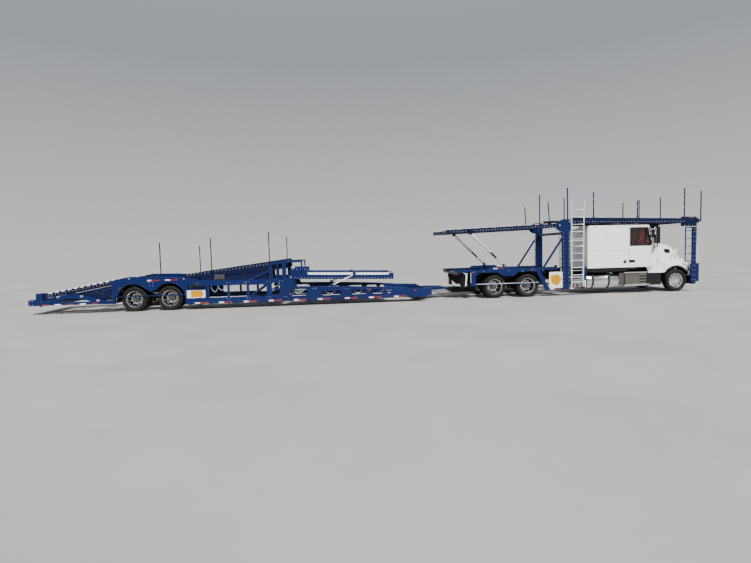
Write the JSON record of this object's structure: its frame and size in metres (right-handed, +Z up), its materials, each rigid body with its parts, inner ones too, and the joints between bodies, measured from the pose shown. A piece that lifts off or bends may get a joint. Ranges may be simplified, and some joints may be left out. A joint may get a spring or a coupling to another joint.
{
  "type": "car transporter truck with stinger-coupled semi-trailer",
  "caption": "Conventional sleeper-cab car transporter: load racks over cab and drive axles, low open semi-trailer on a stinger pivot with tilting decks and a tail ramp.",
  "frame": {"origin": "on the ground under the middle of the whole vehicle's box", "axes": "+X forward, +Y to the driver's left, +Z up"},
  "size_m": [25.417, 2.88, 4.18],
  "materials": {
    "blue_paint": "gloss",
    "white_paint": "gloss",
    "black_frame": "satin",
    "polished_metal": "polished",
    "chrome_rod": "polished",
    "silver_ladder": "satin",
    "cast_metal": "cast",
    "wheel_metal": "polished",
    "rubber_tyre": "matt",
    "window_glass": "clear",
    "lamp_glass": "clear",
    "dark_trim": "grained",
    "seat_fabric": "woven"
  },
  "bodies": {
    "truck": {"truck_frame": "black_frame", "truck_axles": "black_frame", "engine_block": "cast_metal", "cab_shell": "white_paint", "windshield": "window_glass", "seats": "seat_fabric", "dashboard": "dark_trim", "fuel_tanks": "polished_metal", "step_boxes": "polished_metal", "front_bumper": "white_paint", "main_tower": "blue_paint", "front_posts": "blue_paint", "truck_lower_deck": "blue_paint", "ladder": "silver_ladder"},
    "hood": {"hood": "white_paint", "grille": "polished_metal", "headlamps": "lamp_glass"},
    "head_deck": {"head_deck": "blue_paint", "head_deck_stanchions": "blue_paint"},
    "head_lift": {"head_lift_rods": "chrome_rod"},
    "truck_rear_deck": {"truck_rear_deck": "blue_paint"},
    "deck_strut_barrels": {"deck_strut_barrels": "blue_paint"},
    "deck_strut_rods": {"deck_strut_rods": "chrome_rod"},
    "tie_rod": {"tie_rod": "black_frame"},
    "trailer": {"trailer_frame": "blue_paint", "trailer_axles": "black_frame", "trailer_stanchions": "blue_paint"},
    "trailer_front_deck": {"trailer_front_deck": "blue_paint"},
    "trailer_strut_barrels": {"trailer_strut_barrels": "blue_paint"},
    "trailer_strut_rods": {"trailer_strut_rods": "chrome_rod"},
    "trailer_back_deck": {"trailer_back_deck": "blue_paint"},
    "tail_ramp": {"tail_ramp": "blue_paint"},
    "door_right": {"door_right": "white_paint", "door_glass_right": "window_glass", "mirror_right": "dark_trim"},
    "knuckle_right": {"knuckle_right": "black_frame"},
    "steer_wheel_right": {"steer_tyre_right": "rubber_tyre", "steer_wheel_right": "wheel_metal"},
    "drive_wheel_front_right": {"drive_tyres_front_right": "rubber_tyre", "drive_wheels_front_right": "wheel_metal"},
    "drive_wheel_back_right": {"drive_tyres_back_right": "rubber_tyre", "drive_wheels_back_right": "wheel_metal"},
    "trailer_wheel_front_right": {"trailer_tyres_front_right": "rubber_tyre", "trailer_wheels_front_right": "wheel_metal"},
    "trailer_wheel_back_right": {"trailer_tyres_back_right": "rubber_tyre", "trailer_wheels_back_right": "wheel_metal"},
    "door_left": {"door_left": "white_paint", "door_glass_left": "window_glass", "mirror_left": "dark_trim"},
    "knuckle_left": {"knuckle_left": "black_frame"},
    "steer_wheel_left": {"steer_tyre_left": "rubber_tyre", "steer_wheel_left": "wheel_metal"},
    "drive_wheel_front_left": {"drive_tyres_front_left": "rubber_tyre", "drive_wheels_front_left": "wheel_metal"},
    "drive_wheel_back_left": {"drive_tyres_back_left": "rubber_tyre", "drive_wheels_back_left": "wheel_metal"},
    "trailer_wheel_front_left": {"trailer_tyres_front_left": "rubber_tyre", "trailer_wheels_front_left": "wheel_metal"},
    "trailer_wheel_back_left": {"trailer_tyres_back_left": "rubber_tyre", "trailer_wheels_back_left": "wheel_metal"}
  },
  "joints": [
    {"name": "steer_right", "type": "hinge", "parent": "truck", "child": "knuckle_right", "pos_m": [11.7015, -0.87, 0.445], "axis": [0, 0, 1], "range_deg": [-35, 35]},
    {"name": "steer_wheel_spin_right", "type": "hinge", "parent": "knuckle_right", "child": "steer_wheel_right", "pos_m": [11.7015, -1.04, 0.445], "axis": [0, 1, 0], "continuous": true},
    {"name": "drive_wheel_spin_front_right", "type": "hinge", "parent": "truck", "child": "drive_wheel_front_right", "pos_m": [5.5315, -0.9475, 0.445], "axis": [0, 1, 0], "continuous": true},
    {"name": "drive_wheel_spin_back_right", "type": "hinge", "parent": "truck", "child": "drive_wheel_back_right", "pos_m": [4.2115, -0.9475, 0.445], "axis": [0, 1, 0], "continuous": true},
    {"name": "trailer_wheel_spin_front_right", "type": "hinge", "parent": "trailer", "child": "trailer_wheel_front_right", "pos_m": [-7.8885, -0.9475, 0.445], "axis": [0, 1, 0], "continuous": true},
    {"name": "trailer_wheel_spin_back_right", "type": "hinge", "parent": "trailer", "child": "trailer_wheel_back_right", "pos_m": [-9.1335, -0.9475, 0.445], "axis": [0, 1, 0], "continuous": true},
    {"name": "door_right_swing", "type": "hinge", "parent": "truck", "child": "door_right", "pos_m": [10.8515, -1.2, 1.5], "axis": [0, 0, 1], "range_deg": [0, 70]},
    {"name": "steer_left", "type": "hinge", "parent": "truck", "child": "knuckle_left", "pos_m": [11.7015, 0.87, 0.445], "axis": [0, 0, 1], "range_deg": [-35, 35]},
    {"name": "steer_wheel_spin_left", "type": "hinge", "parent": "knuckle_left", "child": "steer_wheel_left", "pos_m": [11.7015, 1.04, 0.445], "axis": [0, 1, 0], "continuous": true},
    {"name": "drive_wheel_spin_front_left", "type": "hinge", "parent": "truck", "child": "drive_wheel_front_left", "pos_m": [5.5315, 0.9475, 0.445], "axis": [0, 1, 0], "continuous": true},
    {"name": "drive_wheel_spin_back_left", "type": "hinge", "parent": "truck", "child": "drive_wheel_back_left", "pos_m": [4.2115, 0.9475, 0.445], "axis": [0, 1, 0], "continuous": true},
    {"name": "trailer_wheel_spin_front_left", "type": "hinge", "parent": "trailer", "child": "trailer_wheel_front_left", "pos_m": [-7.8885, 0.9475, 0.445], "axis": [0, 1, 0], "continuous": true},
    {"name": "trailer_wheel_spin_back_left", "type": "hinge", "parent": "trailer", "child": "trailer_wheel_back_left", "pos_m": [-9.1335, 0.9475, 0.445], "axis": [0, 1, 0], "continuous": true},
    {"name": "door_left_swing", "type": "hinge", "parent": "truck", "child": "door_left", "pos_m": [10.8515, 1.2, 1.5], "axis": [0, 0, -1], "range_deg": [0, 70]},
    {"name": "tie_rod_swing", "type": "hinge", "parent": "knuckle_right", "child": "tie_rod", "pos_m": [11.5015, -0.87, 0.318], "axis": [0, 0, 1], "range_deg": [-35, 35]},
    {"name": "trailer_yaw", "type": "hinge", "parent": "truck", "child": "trailer", "pos_m": [2.9115, 0, 0.325], "axis": [0, 0, 1], "range_deg": [-60, 60]},
    {"name": "hood_tilt", "type": "hinge", "parent": "truck", "child": "hood", "pos_m": [12.3415, 0, 0.655], "axis": [0, 1, 0], "range_deg": [0, 45]},
    {"name": "head_deck_tilt", "type": "hinge", "parent": "truck", "child": "head_deck", "pos_m": [7.2015, 0, 2.875], "axis": [0, -1, 0], "range_deg": [0, 7]},
    {"name": "head_lift", "type": "slide", "parent": "truck", "child": "head_lift", "axis": [0, 0, 1], "range_m": [0, 0.66]},
    {"name": "truck_rear_deck_tilt", "type": "hinge", "parent": "truck", "child": "truck_rear_deck", "pos_m": [6.8015, 0, 2.74], "axis": [0, 1, 0], "range_deg": [-15.5, 0]},
    {"name": "deck_strut_swing", "type": "hinge", "parent": "truck", "child": "deck_strut_barrels", "pos_m": [4.6015, 0, 1.24], "axis": [0, 1, 0], "range_deg": [-27.9, 0]},
    {"name": "deck_strut_slide", "type": "slide", "parent": "deck_strut_barrels", "child": "deck_strut_rods", "axis": [-0.7193, 0, 0.6947], "range_m": [-0.661, 0]},
    {"name": "trailer_front_deck_tilt", "type": "hinge", "parent": "trailer", "child": "trailer_front_deck", "pos_m": [-3.5285, 0, 1.066], "axis": [0, -1, 0], "range_deg": [0, 20]},
    {"name": "trailer_strut_swing", "type": "hinge", "parent": "trailer", "child": "trailer_strut_barrels", "pos_m": [-2.0385, 0, 0.72], "axis": [0, -1, 0], "range_deg": [0, 36.2]},
    {"name": "trailer_strut_slide", "type": "slide", "parent": "trailer_strut_barrels", "child": "trailer_strut_rods", "axis": [0.9169, 0, 0.3991], "range_m": [0, 0.444]},
    {"name": "trailer_back_deck_tilt", "type": "hinge", "parent": "trailer", "child": "trailer_back_deck", "pos_m": [-7.3585, 0, 1.13], "axis": [0, -1, 0], "range_deg": [0, 12]},
    {"name": "tail_ramp_tilt", "type": "hinge", "parent": "trailer", "child": "tail_ramp", "pos_m": [-9.2585, 0, 1.195], "axis": [0, 1, 0], "range_deg": [0, 10]}
  ],
  "couplings": [
    {"joint": "steer_left", "follows": "steer_right", "ratio": 1},
    {"joint": "tie_rod_swing", "follows": "steer_right", "ratio": -1},
    {"joint": "head_lift", "follows": "head_deck_tilt", "m_per_rad": 5.3},
    {"joint": "deck_strut_swing", "follows": "truck_rear_deck_tilt", "ratio": 1.753},
    {"joint": "deck_strut_slide", "follows": "truck_rear_deck_tilt", "m_per_rad": 2.413},
    {"joint": "trailer_strut_swing", "follows": "trailer_front_deck_tilt", "ratio": 1.777},
    {"joint": "trailer_strut_slide", "follows": "trailer_front_deck_tilt", "m_per_rad": 1.248}
  ]
}
